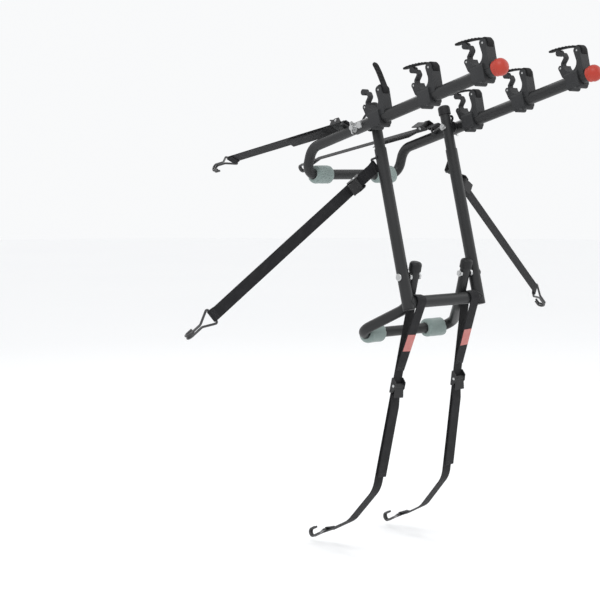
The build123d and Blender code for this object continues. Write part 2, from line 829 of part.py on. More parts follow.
arm = carry_arm()
for side, shape in zip(("left", "right"), both(arm)):
    save(f"carry_arm_{side}", [rack * shape])
save("arm_end_caps", [rack * s for s in both(arm_cap())])
save("upper_frame", [rack * upper_frame()])
upper_pad = foam_pad(upper_path(), upper_pad_inner, upper_pad_arc_share)
for side, shape in zip(("left", "right"), both(upper_pad)):
    save(f"upper_pad_{side}", [rack * shape])
save("lock_bolts", [rack * s for piece in lock_bolt_set() for s in both(piece)])

# Sub-parts of the lower frame

save("lower_frame", [rack * lower_frame()])
save("lower_frame_caps", [rack * s for s in both(leg_cap())])
lower_pad = foam_pad(lower_path(), lower_pad_inner, lower_pad_arc_share)
for side, shape in zip(("left", "right"), both(lower_pad)):
    save(f"lower_pad_{side}", [rack * shape])

# Straps with their anchors, buckles and hooks

save("top_strap_anchors", [rack * s for s in both(top_anchor())])
save("side_strap_anchors", [rack * s for s in both(side_anchor())])

anchor_stand = fold_size(anchor_wire / 2)
loop_stand = fold_size(main_radius)
tail_from = buckle_length / 2 + part_gap
top_skew = strap_width / 2 * sin(radians(top_strap_angle)) * sin(radians(top_anchor_angle))
top_tail = Pos(0, 0, anchor_stand) * loose_tail(top_buckle_at + tail_from, top_tail_length, -1)
lower_tail = Pos(0, 0, -loop_stand) * loose_tail(lower_buckle_at + tail_from, lower_tail_length, 1)
strap_sets = {
    "top": (top_plane(), [tie_strap(top_strap_run, top_skew), top_tail], Pos(0, top_strap_run, 0),
            top_buckle_at, anchor_stand),
    "side": (side_plane(), [tie_strap(side_strap_run())], Pos(0, side_strap_run(), 0),
             side_buckle_at, anchor_stand),
    "lower": (lower_plane(), [lower_strap(), lower_tail], lower_hook_place(),
              lower_buckle_at, -loop_stand),
}
for name, (plane, webbing, hook_place, buckle_at, height) in strap_sets.items():
    pairs = [both(plane.location * piece) for piece in webbing]
    for side, shapes in zip(("left", "right"), zip(*pairs)):
        save(f"{name}_strap_{side}", [rack * shape for shape in shapes])
    save(f"{name}_strap_hooks", [rack * s for s in both(plane.location * hook_place * strap_hook())])
    seat = plane.location * Pos(0, buckle_at, height)
    save(f"{name}_strap_buckles", [rack * s for s in both(seat * buckle_body())])
    for side, shape in zip(("left", "right"), both(seat * cam_lever())):
        save(f"{name}_cam_lever_{side}", [rack * shape])
    pin = (rack * seat * Pos(0, 0, cam_axis_height())).position
    axis = (rack * seat * Pos(main_tube, 0, cam_axis_height())).position - pin
    say(f"cam {name}", pin, axis.normalized())
    hook = rack * plane.location * hook_place
    say(f"hook {name}", (hook * Pos(0, hook_length - hook_throat / 2, 0)).position)
    say(f"throat {name}", (hook * Pos(0, hook_length - hook_throat / 2, -hook_throat / 2)).position)

tag_place = lower_plane().location * strap_tag()
save("strap_tags", [rack * s for s in both(tag_place)])

# Cradles

pins = []
strap = rubber_strap(rubber_length)
for row in range(cradle_rows):
    along = cradle_first + row * cradle_spacing
    if row == 0:
        raised = about_x(rubber_strap(raised_rubber_length), -rear_hinge_back, rear_hinge_height,
                         first_strap_angle)
    for side, sign in (("left", -1), ("right", 1)):
        place = rack * Pos(sign * arm_x, -along, 0)
        open_now = row == 0 and side == "left"
        save(f"cradle_base_{side}_{row + 1}", [place * cradle_base()])
        save(f"cradle_strap_{side}_{row + 1}", [place * (raised if open_now else strap)])
        save(f"cradle_buckle_{side}_{row + 1}", [place * tongue_buckle()])
        pins += [place * pin for pin in cradle_pins()]
        say(f"saddle {side} {row + 1}", (place * Pos(0, 0, saddle_height)).position)
        rear = place * Pos(0, -rear_hinge_back, rear_hinge_height)
        front = place * Pos(0, front_hinge_forward, front_hinge_height)
        say(f"rear hinge {side} {row + 1}", rear.position)
        say(f"front hinge {side} {row + 1}", front.position)
save("cradle_pins", pins)

say("hub", (rack * Pos(0, 0, 0)).position)
say("leg pivot", (rack * Pos(0, 0, -leg_pivot_drop)).position)
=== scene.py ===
import json
import math

import bmesh
import bpy
from mathutils import Matrix, Vector, noise

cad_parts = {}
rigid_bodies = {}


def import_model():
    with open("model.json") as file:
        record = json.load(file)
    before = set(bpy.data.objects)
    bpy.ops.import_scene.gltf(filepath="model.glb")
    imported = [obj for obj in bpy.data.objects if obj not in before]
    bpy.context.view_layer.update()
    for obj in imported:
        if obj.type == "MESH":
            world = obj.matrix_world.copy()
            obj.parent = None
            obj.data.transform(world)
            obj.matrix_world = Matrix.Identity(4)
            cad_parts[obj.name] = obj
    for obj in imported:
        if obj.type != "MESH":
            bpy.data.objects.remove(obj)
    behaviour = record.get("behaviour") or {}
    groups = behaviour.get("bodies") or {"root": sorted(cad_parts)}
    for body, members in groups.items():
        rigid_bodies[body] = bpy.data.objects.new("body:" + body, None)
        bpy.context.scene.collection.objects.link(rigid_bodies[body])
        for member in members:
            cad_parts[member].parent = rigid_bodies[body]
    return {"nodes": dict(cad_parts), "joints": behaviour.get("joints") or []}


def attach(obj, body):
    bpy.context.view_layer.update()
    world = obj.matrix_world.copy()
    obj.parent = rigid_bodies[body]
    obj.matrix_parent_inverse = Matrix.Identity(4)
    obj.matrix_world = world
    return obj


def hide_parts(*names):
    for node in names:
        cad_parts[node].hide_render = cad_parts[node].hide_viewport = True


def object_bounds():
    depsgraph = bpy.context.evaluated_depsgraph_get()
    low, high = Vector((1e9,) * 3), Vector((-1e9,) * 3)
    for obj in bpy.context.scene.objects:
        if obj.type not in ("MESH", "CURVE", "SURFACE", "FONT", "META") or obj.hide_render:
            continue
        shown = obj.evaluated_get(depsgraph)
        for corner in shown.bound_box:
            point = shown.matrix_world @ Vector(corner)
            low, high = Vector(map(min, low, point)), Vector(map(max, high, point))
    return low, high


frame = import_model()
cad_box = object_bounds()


# The studio: a pale floor under the rack, even light from a white room and two soft boxes,
# and a long lens where the photographer stood, behind and to the left of the rack.

MM = 0.001
EYE = Vector((-2.1996, -2.422, 0.0157))
LOOK = Vector((0.6423, 0.7611, -0.0906)).normalized()
EYE_RIGHT = Vector((0.7643, -0.6449, 0.0)).normalized()
LENS_MM = 87.4
FLOOR_DROP = 0.012
FLOOR_REACH = 14.0
FLOOR_SIDES = 96
ROOM_WHITE = (0.965, 0.972, 0.98, 1)
ROOM_LIGHT = 0.98

camera_lens = bpy.data.cameras.new("photo_camera")
camera_lens.lens = LENS_MM
camera = bpy.data.objects.new("photo_camera", camera_lens)
bpy.context.collection.objects.link(camera)
eye_up = EYE_RIGHT.cross(LOOK)
facing = Matrix((EYE_RIGHT, eye_up, -LOOK)).transposed().to_4x4()
camera.matrix_world = Matrix.Translation(EYE) @ facing
bpy.context.scene.camera = camera

room = bpy.data.worlds.new("white_room")
room.use_nodes = True
room.node_tree.nodes["Background"].inputs["Color"].default_value = ROOM_WHITE
room.node_tree.nodes["Background"].inputs["Strength"].default_value = ROOM_LIGHT
bpy.context.scene.world = room
bpy.context.scene.view_settings.view_transform = "Standard"

for name, place, target, size, power in (
    ("key_soft_box", (-1.6, -1.4, 2.4), (0, -0.2, -0.1), 1.6, 26),
    ("fill_soft_box", (2.2, -1.2, 1.2), (0, -0.2, -0.2), 1.6, 8),
    ("rim_soft_box", (0.6, 2.2, 1.6), (0, 0, 0), 1.2, 10),
):
    lamp = bpy.data.lights.new(name, "AREA")
    lamp.shape = "DISK"
    lamp.size = size
    lamp.energy = power
    soft_box = bpy.data.objects.new(name, lamp)
    soft_box.location = place
    aim = Vector(target) - Vector(place)
    soft_box.rotation_euler = aim.to_track_quat("-Z", "Y").to_euler()
    bpy.context.collection.objects.link(soft_box)


class Socket:
    """One output of a shader node; sums on it add Math nodes."""

    def __init__(self, tree, out):
        self.tree = tree
        self.out = out

    def _sum(self, operation, first, second=None):
        node = self.tree.nodes.new("ShaderNodeMath")
        node.operation = operation
        for slot, value in enumerate((first, second)):
            if isinstance(value, Socket):
                self.tree.links.new(value.out, node.inputs[slot])
            elif value is not None:
                node.inputs[slot].default_value = value
        return Socket(self.tree, node.outputs[0])

    def __add__(self, other):
        return self._sum("ADD", self, other)

    __radd__ = __add__

    def __sub__(self, other):
        return self._sum("SUBTRACT", self, other)

    def __rsub__(self, other):
        return self._sum("SUBTRACT", other, self)

    def __mul__(self, other):
        return self._sum("MULTIPLY", self, other)

    __rmul__ = __mul__

    def __truediv__(self, other):
        return self._sum("DIVIDE", self, other)

    def clipped(self):
        return self._sum("MINIMUM", self._sum("MAXIMUM", self, 0), 1)

    def size(self):
        """Its value without its sign."""
        return self._sum("ABSOLUTE", self)

    def least(self, other):
        """The smaller of two values."""
        return self._sum("MINIMUM", self, other)

    def wave(self):
        """A wave from 0 to 1, one per unit."""
        return self._sum("SINE", self * math.tau) * 0.5 + 0.5


class Finish:
    """A material: one Principled shader, and what varies over it."""

    EDGE_SAMPLES = 4
    EDGE_GAIN = 6

    def __init__(self, name, **steady):
        self.material = bpy.data.materials.new(name)
        self.material.use_nodes = True
        self.tree = self.material.node_tree
        self.shader = self.tree.nodes["Principled BSDF"]
        for socket, value in steady.items():
            self.shader.inputs[socket.replace("_", " ")].default_value = value

    def node(self, kind, settings, output=0, **values):
        made = self.tree.nodes.new(kind)
        for key, value in settings.items():
            if key == "stops":
                for stop, (place, colour) in zip(made.color_ramp.elements, value):
                    stop.position = place
                    stop.color = colour
            else:
                setattr(made, key, value)
        for key, value in values.items():
            slot = made.inputs[int(key[1:]) if key[1:].isdigit() else key.replace("_", " ")]
            if isinstance(value, Socket):
                self.tree.links.new(value.out, slot)
            else:
                slot.default_value = value
        return Socket(self.tree, made.outputs[output])

    def place(self):
        """Where a point is on the rack, in metres."""
        return self.node("ShaderNodeTexCoord", {}, "Object")

    def grain(self, per_metre, detail=3.0, rough=0.55, at=None, stretch=None):
        """Even noise, so many grains to the metre, from 0 to 1."""
        at = at or self.place()
        if stretch:
            at = self.node("ShaderNodeVectorMath", {"operation": "MULTIPLY"}, i0=at, i1=stretch)
        return self.node(
            "ShaderNodeTexNoise", {}, 0, Vector=at, Scale=per_metre, Detail=detail, Roughness=rough)

    def mix(self, mask, low, high):
        """A colour between two others."""
        return self.node("ShaderNodeMix", {"data_type": "RGBA"}, 2, Factor=mask, i6=low, i7=high)

    def rounded_normal(self, reach):
        """The surface's direction, as if its edges were rounded by the reach."""
        return self.node("ShaderNodeBevel", {"samples": self.EDGE_SAMPLES}, 0, Radius=reach)

    def edges(self, reach):
        """How near a point is to an edge: 1 on the edge and 0 at the reach from it."""
        flat = self.node("ShaderNodeNewGeometry", {}, "Normal")
        turned = self.rounded_normal(reach)
        alike = self.node("ShaderNodeVectorMath", {"operation": "DOT_PRODUCT"}, 1, i0=flat, i1=turned)
        return ((1 - alike) * self.EDGE_GAIN).clipped()

    def drive(self, socket, value):
        self.tree.links.new(value.out, self.shader.inputs[socket])

    def relief(self, height, depth, strength=1.0, round_over=None):
        """Bump of the given depth in metres, on edges that look rounded by so much."""
        base = {}
        if round_over:
            base["Normal"] = self.rounded_normal(round_over)
        bump = self.node(
            "ShaderNodeBump", {}, 0, Strength=strength, Distance=depth, Height=height, **base)
        self.drive("Normal", bump)


def dress(material, *nodes):
    """Gives CAD nodes their finish."""
    for node in nodes:
        mesh = frame["nodes"][node].data
        mesh.materials.clear()
        mesh.materials.append(material)


def piece(name, mesh, material, body, slot, *stands_for):
    """A piece of the scene that moves with a body and may stand for CAD nodes."""
    mesh.materials.clear()
    mesh.materials.append(material)
    made = bpy.data.objects.new(name, mesh)
    bpy.context.collection.objects.link(made)
    if body is None:
        return made
    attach(made, body)
    if stands_for:
        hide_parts(*stands_for)
    return made


FLOOR_SHADE = (0.962, 0.968, 0.975, 1)
FLOOR_PALE = (0.985, 0.987, 0.99, 1)
floor_finish = Finish("pale_floor", Roughness=0.75)
floor_cloud = floor_finish.grain(0.8)
floor_finish.drive("Base Color", floor_finish.mix(floor_cloud, FLOOR_SHADE, FLOOR_PALE))
floor_finish.relief(floor_finish.grain(60.0), 0.0004, 0.3)
floor_mesh = bpy.data.meshes.new("floor")
floor_ring = bmesh.new()
bmesh.ops.create_circle(floor_ring, cap_ends=True, radius=FLOOR_REACH, segments=FLOOR_SIDES)
floor_ring.to_mesh(floor_mesh)
floor_ring.free()
floor = piece("floor", floor_mesh, floor_finish.material, None, None)
floor.location.z = cad_box[0][2] - FLOOR_DROP


# The steel: bent and straight tube, the hub plates and the strap staples. All of it is welded or
# plugged mild steel with one charcoal powder coat, smooth and half glossy, with a slight orange peel.

COAT_DARK = (0.01, 0.0104, 0.0112, 1)
COAT_LIGHT = (0.019, 0.0195, 0.0205, 1)
COAT_RUBBED = (0.08, 0.08, 0.08, 1)
COAT_DUST = (0.045, 0.0445, 0.043, 1)


def powder_coat():
    """Charcoal powder coat, with dust on what faces up and rubbed edges."""
    coat = Finish("charcoal_powder_coat", Coat_Roughness=0.3, Specular_IOR_Level=0.32)
    cloud = coat.grain(14.0)
    normal = coat.node("ShaderNodeNewGeometry", {}, "Normal")
    up = coat.node("ShaderNodeSeparateXYZ", {}, 2, Vector=normal)
    dust = ((up - 0.55) * 1.6).clipped() * coat.grain(90.0, 5.0) * 0.55
    colour = coat.mix(cloud, COAT_DARK, COAT_LIGHT)
    colour = coat.mix(dust, colour, COAT_DUST)
    worn = coat.edges(0.6 * MM) * (coat.grain(240.0, 4.0) - 0.25).clipped()
    colour = coat.mix(worn, colour, COAT_RUBBED)
    coat.drive("Base Color", colour)
    coat.drive("Roughness", 0.42 + cloud * 0.1 + dust * 0.5)
    coat.drive("Coat Weight", 0.16 - dust * 0.2)
    peel = coat.grain(900.0, 2.0, 0.4)
    speck = coat.grain(4200.0, 2.0, 0.5)
    coat.relief(peel * 0.8 + speck * 0.2, 0.00022, 0.55)
    return coat.material


steel_coat = powder_coat()
dress(
    steel_coat, "upright_left", "upright_right", "crossbar", "hub_posts", "lock_plates", "carry_arm_left",
    "carry_arm_right", "upper_frame", "lower_frame", "side_strap_anchors", "top_strap_anchors",
)


# Where the crossbar meets the uprights, the maker laid one pass of weld all round before coating, so
# each bead is a row of low ripples under the same coat.

LEAN = math.radians(15)
RACK = Matrix.Translation((0, -187 * MM, 103 * MM)) @ Matrix.Rotation(-LEAN, 4, "X")
TUBE_RADIUS = 12.7 * MM
UPRIGHT_X = 106 * MM
CROSSBAR_DROP = 377.4
CROSSBAR_Z = -CROSSBAR_DROP * MM
BEAD_RADIUS = 1.9 * MM
BEAD_PITCH = 1.7 * MM
BEAD_SINK = 0.2
BEAD_RIPPLE = 0.14
BEAD_SIDES = 10
RIPPLE_STEPS = 4
LEAST_RIPPLES = 8
CROSSBAR_SEAM_POINTS = 72
TURNED_SIDES = 96


def join_rings(mesh, rings):
    """Faces between each ring of points and the next."""
    count = len(rings[0])
    for first, second in zip(rings, rings[1:]):
        for k in range(count):
            mesh.faces.new((first[k], first[(k + 1) % count], second[(k + 1) % count], second[k]))


def turn_outline(mesh, outline, place, sides=TURNED_SIDES):
    """A skin turned about the z axis of its place, from an outline of (0, radius, height) points."""
    rings = []
    for _, radius, height in outline:
        turns = [math.tau * k / sides for k in range(sides)] if radius > 0 else [0]
        rings.append([mesh.verts.new(place @ Vector((radius * math.cos(a), radius * math.sin(a), height)))
                      for a in turns])
    for first, second in zip(rings, rings[1:]):
        for k in range(sides):
            n = (k + 1) % sides
            corners = [first[k % len(first)], first[n % len(first)]]
            corners += [second[n % len(second)], second[k % len(second)]]
            mesh.faces.new(dict.fromkeys(corners))


def finished_mesh(name, mesh):
    """Turns built faces outward, smooths all but flat ends, and keeps them as a mesh."""
    bmesh.ops.recalc_face_normals(mesh, faces=mesh.faces)
    for face in mesh.faces:
        face.smooth = len(face.verts) <= 4
    made = bpy.data.meshes.new(name)
    mesh.to_mesh(made)
    mesh.free()
    return made


def weld_bead(name, line, size=BEAD_RADIUS):
    """A round bead of weld along a closed seam, rippled by its passes."""
    length = sum((b - a).length for a, b in zip(line, line[1:] + line[:1]))
    steps = max(LEAST_RIPPLES, round(length / BEAD_PITCH)) * RIPPLE_STEPS
    points = []
    for i in range(steps):
        at = i * len(line) / steps
        points.append(line[int(at)].lerp(line[(int(at) + 1) % len(line)], at % 1))
    mesh = bmesh.new()
    rings = []
    side = (points[1] - points[-1]).normalized().orthogonal().normalized()
    for i, point in enumerate(points):
        along = (points[(i + 1) % steps] - points[i - 1]).normalized()
        side = (side - along * side.dot(along)).normalized()
        other = along.cross(side)
        swell = abs(math.sin(math.pi * i / RIPPLE_STEPS))
        radius = size * (1 - BEAD_RIPPLE + BEAD_RIPPLE * swell)
        ring = []
        for k in range(BEAD_SIDES):
            turn = math.tau * k / BEAD_SIDES
            ring.append(mesh.verts.new(point + (side * math.cos(turn) + other * math.sin(turn)) * radius))
        rings.append(ring)
    join_rings(mesh, rings + rings[:1])
    return finished_mesh(name, mesh)


for name, sign in (("left", -1), ("right", 1)):
    seam = []
    for i in range(CROSSBAR_SEAM_POINTS):
        turn = math.tau * i / CROSSBAR_SEAM_POINTS
        y, z = math.cos(turn) * TUBE_RADIUS, math.sin(turn) * TUBE_RADIUS
        inset = math.sqrt(max(0.0, 1 - math.cos(turn) ** 2)) * TUBE_RADIUS
        x = sign * (UPRIGHT_X - inset - BEAD_RADIUS * BEAD_SINK)
        seam.append(RACK @ Vector((x, y, CROSSBAR_Z + z)))
    bead = weld_bead(f"crossbar_weld_{name}", seam)
    piece(f"crossbar_weld_{name}", bead, steel_coat, "main_frame", "black_tube")


# The open tube ends are closed with dipped vinyl caps and moulded plugs: soft black plastic, a little
# duller than the coat, with a faint grain.

CAP_BLACK = (0.01, 0.01, 0.011, 1)
CAP_BLOOM = (0.034, 0.034, 0.035, 1)


def soft_vinyl():
    """Black vinyl with a grey bloom in its low spots."""
    vinyl = Finish("black_vinyl", Specular_IOR_Level=0.3)
    bloom = (vinyl.grain(70.0, 5.0) - 0.35).clipped() * 0.8
    vinyl.drive("Base Color", vinyl.mix(bloom, CAP_BLACK, CAP_BLOOM))
    vinyl.drive("Roughness", 0.42 + bloom * 0.3)
    vinyl.relief(vinyl.grain(1500.0, 3.0), 0.00025, 0.6)
    return vinyl.material


dress(soft_vinyl(), "post_caps", "lower_frame_caps", "upright_plugs")


# Bolts, nuts, wing nuts, washers and hinge pins are zinc plated steel: bright, faintly blue, with
# fine turning marks and a few dull spots.

ZINC_LIGHT = (0.62, 0.63, 0.64, 1)
ZINC_DULL = (0.4, 0.4, 0.39, 1)


def zinc_plate():
    """Bright zinc with dull spots."""
    zinc = Finish("zinc_plate")
    spots = zinc.grain(160.0, 4.0)
    zinc.drive("Base Color", zinc.mix(spots, ZINC_LIGHT, ZINC_DULL))
    zinc.drive("Metallic", 1 - (spots - 0.6).clipped())
    zinc.drive("Roughness", 0.2 + spots * 0.22)
    turned = zinc.grain(900.0, 2.0, stretch=(6, 1, 1))
    zinc.relief(turned, 0.0001, 0.4)
    return zinc.material


zinc = zinc_plate()
dress(zinc, "pivot_bolts", "lock_bolts", "pivot_washers", "cradle_pins")


# The rest bars wear sleeves of grey green closed cell foam, slit along the back and pushed on. Each
# is skived round at its ends, a little lumpy, and pressed flat where it bears on the car.

PAD_RADIUS = 20 * MM
PAD_BORE = 11.5 * MM
PAD_END_ROUND = 7 * MM
PAD_STEP = 1.6 * MM
PAD_SIDES = 64
PAD_LUMP = 0.5 * MM
PAD_LUMPS = 60
PAD_LUMP_ROUND = 0.9
PAD_PRESS = 1.6 * MM
PRESS_SHARPNESS = 6
END_DEPTH = 0.8
SLIT_TURN = math.pi * 0.86
SLIT_DEPTH = 2.4 * MM
SLIT_WIDTH = 1.1 * MM
BEND_STEPS = 40
LEG_PIVOT_DROP = 323.5
KNEE_RUN = 68
LEG_STAND = 12.7 + 1.5 + 0.9 + 11.1
FOAM_GREEN = (0.18, 0.24, 0.225, 1)
FOAM_PALE = (0.29, 0.355, 0.34, 1)
FOAM_PORE = (0.09, 0.125, 0.115, 1)


def foam_finish():
    """Matt foam skin with closed pores and handling marks."""
    foam = Finish("grey_green_foam", Specular_IOR_Level=0.28, Sheen_Weight=0.25, Sheen_Roughness=0.6)
    cloud = foam.grain(34.0, 5.0)
    cells = foam.node(
        "ShaderNodeTexVoronoi", {"feature": "F1"}, "Distance", Vector=foam.place(), Scale=1100.0)
    pores = (0.42 - cells).clipped() * 2.2
    streak = (foam.grain(150.0, 4.0, stretch=(0.25, 1, 1)) - 0.42).clipped() * 1.4
    colour = foam.mix(cloud, FOAM_GREEN, FOAM_PALE)
    colour = foam.mix(pores * 0.35, colour, FOAM_PORE)
    colour = foam.mix(streak * 0.5, colour, FOAM_PALE)
    foam.drive("Base Color", colour)
    foam.drive("Roughness", 0.72 + cloud * 0.16)
    foam.relief(foam.grain(420.0, 4.0) * 0.5 + cells * 0.5, 0.0006, 0.75)
    return foam.material


def round_corner(before, corner, after, radius, steps):
    """Points of the arc that rounds a corner, from the side of before to the side of after."""
    back = (before - corner).normalized()
    on = (after - corner).normalized()
    half = math.acos(max(-1, min(1, back.dot(on)))) / 2
    reach = radius / math.tan(half)
    centre = corner + (back + on).normalized() * (radius / math.sin(half))
    start, end = corner + back * reach - centre, corner + on * reach - centre
    swing = math.pi - 2 * half
    return [centre + (start * math.sin(swing * (1 - t)) + end * math.sin(swing * t)) / math.sin(swing)
            for t in (k / steps for k in range(steps + 1))]


def even_steps(line, step):
    """The same line with points at even steps, and their distances along it."""
    sums = [0.0]
    for a, b in zip(line, line[1:]):
        sums.append(sums[-1] + (b - a).length)
    count = max(2, round(sums[-1] / step))
    points, at, k = [], [], 0
    for i in range(count + 1):
        want = sums[-1] * i / count
        while k < len(line) - 2 and sums[k + 1] < want:
            k += 1
        span = sums[k + 1] - sums[k]
        points.append(line[k].lerp(line[k + 1], (want - sums[k]) / span if span else 0))
        at.append(want)
    return points, at


def foam_sleeve(name, line, press, seed):
    """A foam sleeve along a line: its skin outside, its bore inside, and soft round ends."""
    points, at = even_steps(line, PAD_STEP)
    length = at[-1]
    mesh = bmesh.new()
    outer, inner = [], []
    for i, point in enumerate(points):
        along = (points[min(i + 1, len(points) - 1)] - points[max(i - 1, 0)]).normalized()
        up = (press - along * press.dot(along)).normalized()
        side = along.cross(up)
        near = min(at[i], length - at[i])
        fall = max(0.0, PAD_END_ROUND - near) / PAD_END_ROUND
        hollow = 1 - math.sqrt(max(0.0, 1 - fall ** 2))
        size = PAD_RADIUS - (PAD_RADIUS - PAD_BORE) * END_DEPTH * hollow
        ring = []
        bore = []
        for k in range(PAD_SIDES):
            turn = math.tau * k / PAD_SIDES
            way = up * math.cos(turn) + side * math.sin(turn)
            spot = point * PAD_LUMPS + way * PAD_LUMP_ROUND + Vector((seed, 0, 0))
            lump = noise.noise(spot) * PAD_LUMP
            facing_car = max(0.0, math.cos(turn)) ** PRESS_SHARPNESS
            pressed = PAD_PRESS * facing_car * min(1.0, near / (2 * PAD_END_ROUND))
            gap = abs((turn - SLIT_TURN + math.pi) % math.tau - math.pi) * size
            cut = SLIT_DEPTH * math.exp(-(gap / SLIT_WIDTH) ** 2)
            ring.append(mesh.verts.new(point + way * (size + lump - pressed - cut)))
            bore.append(mesh.verts.new(point + way * PAD_BORE))
        outer.append(ring)
        inner.append(bore)
    join_rings(mesh, outer)
    join_rings(mesh, [bore[::-1] for bore in inner])
    join_rings(mesh, (outer[0], inner[0]))
    join_rings(mesh, (outer[-1], inner[-1]))
    return finished_mesh(name, mesh)


foam = foam_finish()
UPPER_TURN = [(-138, 174, 0), (-138, 207, -51), (0, 207, -51)]
LEG_SLOPE = math.asin(LEG_STAND / (CROSSBAR_DROP - LEG_PIVOT_DROP))
KNEE = (-76.3, KNEE_RUN * math.sin(LEG_SLOPE), -LEG_PIVOT_DROP - KNEE_RUN * math.cos(LEG_SLOPE))
LOWER_TURN = [KNEE, (-148, 133, -418), (0, 133, -418)]
for part, turn, radius, inner_end, press, body in (
    ("upper_pad", UPPER_TURN, 26, 64, Vector((0, 0.55, -0.84)), "arms"),
    ("lower_pad", LOWER_TURN, 21, 62, Vector((0, 1, 0.1)), "leg_frame"),
):
    before, corner, after = (Vector(p) * MM for p in turn)
    bend = round_corner(before, corner, after, radius * MM, BEND_STEPS)
    for name, sign, seed, bend_start, cut_back in (("left", 1, 3.0, 34, 7), ("right", -1, 11.0, 31, 0)):
        inner = Vector((-(inner_end + cut_back) * MM, corner.y, corner.z))
        sleeve_line = bend[bend_start:] + [inner]
        line = [RACK @ Vector((sign * p.x, p.y, p.z)) for p in sleeve_line]
        if sign < 0:
            line.reverse()
        sleeve = foam_sleeve(f"foam_{part}_{name}", line, press, seed)
        made = piece(f"foam_{part}_{name}", sleeve, foam, body, "foam", f"{part}_{name}")


# Six straps of 25 mm black polypropylene webbing tie the rack to the car. Each is a flat, ribbed
# weave with rolled selvedges, and its ends are folded back round a wire or the crossbar and sewn.

WEB_WIDTH = 25.4 * MM
WEB_THICK = 1.5 * MM
WEB_SIT = 1.05 * MM
WEB_STEP = 2.2 * MM
WEB_RIB = 2.1 * MM
WEB_YARN = 1.6 * MM
STAPLE_WIRE = 2.25 * MM
HOOK_WIRE = 2.5 * MM
FOLD_END = 12 * MM
FOLD_INSET = 1.8 * MM
WEB_SWAY = 0.25 * MM
WEB_DARK = (0.006, 0.006, 0.007, 1)
WEB_LIGHT = (0.022, 0.022, 0.024, 1)
WEB_FADED = (0.045, 0.045, 0.047, 1)
THREAD = (0.06, 0.06, 0.062, 1)
THREAD_WIDTH = 0.45 * MM
STITCH = 2.4 * MM
SEAM_HALF_WIDTH = 9.8 * MM
SEAM_HALF_LENGTH = 3.4 * MM
SEAM_MIDDLE = 5.2 * MM
SEAM_NEAR = 7 * MM
NO_SEAM = 1.0
SELVEDGE_SHARE = 0.42
WEB_HOLLOW_SHARE = 0.93
WEB_COLUMNS = 8
SWAY_RATE = 9
FOLD_SLACK = 1.02
FOLD_ROUND = 0.82
CORNER_STEPS = 9
TAIL_BESIDE = 2.1 * MM
TAIL_OFF = 5 * MM
TAIL_BEND = 30 * MM
LOOP_SEWN = 152 * MM
LOWER_RUNS = ((417, 60, 32), (108, 60, 20), (74, 0, 0))


def webbing_finish():
    """Ribbed webbing, sewn in a box with a cross in it where its end is folded back.

    Its place attribute holds metres across the strap, along it, and back from its sewn end."""
    web = Finish("black_webbing", Specular_IOR_Level=0.16, Sheen_Weight=0.08, Sheen_Roughness=0.45)
    spot = web.node("ShaderNodeAttribute", {"attribute_name": "strap_place"}, "Vector")
    across = web.node("ShaderNodeSeparateXYZ", {}, 0, Vector=spot)
    along = web.node("ShaderNodeSeparateXYZ", {}, 1, Vector=spot)
    wobble = web.grain(400.0, 2.0) * 0.25
    ribs = (along / WEB_RIB + wobble).wave()
    yarns = (across / WEB_YARN + wobble + (along / WEB_RIB).wave() * 0.18).wave()
    weave = ribs * 0.6 + yarns * 0.4
    wide = across.size()
    deep = (web.node("ShaderNodeSeparateXYZ", {}, 2, Vector=spot) - SEAM_MIDDLE).size()
    cross = (wide - deep * (SEAM_HALF_WIDTH / SEAM_HALF_LENGTH)).size() * 0.33
    seam = cross.least((wide - SEAM_HALF_WIDTH).size()).least((deep - SEAM_HALF_LENGTH).size())
    inside = (((SEAM_HALF_WIDTH - wide) / THREAD_WIDTH + 1).clipped()
              * ((SEAM_HALF_LENGTH - deep) / THREAD_WIDTH + 1).clipped())
    stitch = (((wide + deep) / STITCH).wave() * 2.2 - 0.4).clipped()
    thread = (1.6 - seam / (0.6 * THREAD_WIDTH)).clipped() * inside * stitch
    worn = (web.grain(60.0, 4.0) - 0.45).clipped() * 1.6
    colour = web.mix(weave, WEB_DARK, WEB_LIGHT)
    colour = web.mix(worn * weave, colour, WEB_FADED)
    web.drive("Base Color", web.mix(thread, colour, THREAD))
    web.drive("Roughness", 0.82 - weave * 0.22)
    web.relief(weave * 0.8 + web.grain(3000.0, 2.0) * 0.2 + thread * 0.7, 0.0005, 0.9)
    return web.material


def fold_corner(y, z, stand):
    """Where a strand from a sewn end at (y, z) meets the back of its fold, clear of the bar."""
    back = -FOLD_SLACK * stand
    return back, z - math.tan(math.asin(stand / math.hypot(y, z)) + math.atan2(z, y)) * (y - back)


def rounded_line(points, radii):
    """A line of points with its inner corners rounded."""
    line = [points[0]]
    for i, radius in enumerate(radii):
        line += round_corner(points[i], points[i + 1], points[i + 2], radius, CORNER_STEPS)
    return line + [points[-1]]


def from_seam(point, ends):
    """How far a point of a strand lies back from a sewn end, if it lies beside that end's fold."""
    for end, way in ends:
        back = way.dot(end - point)
        if (end - point - way * back).length < SEAM_NEAR and abs(back) < 2 * FOLD_END:
            return back
    return NO_SEAM


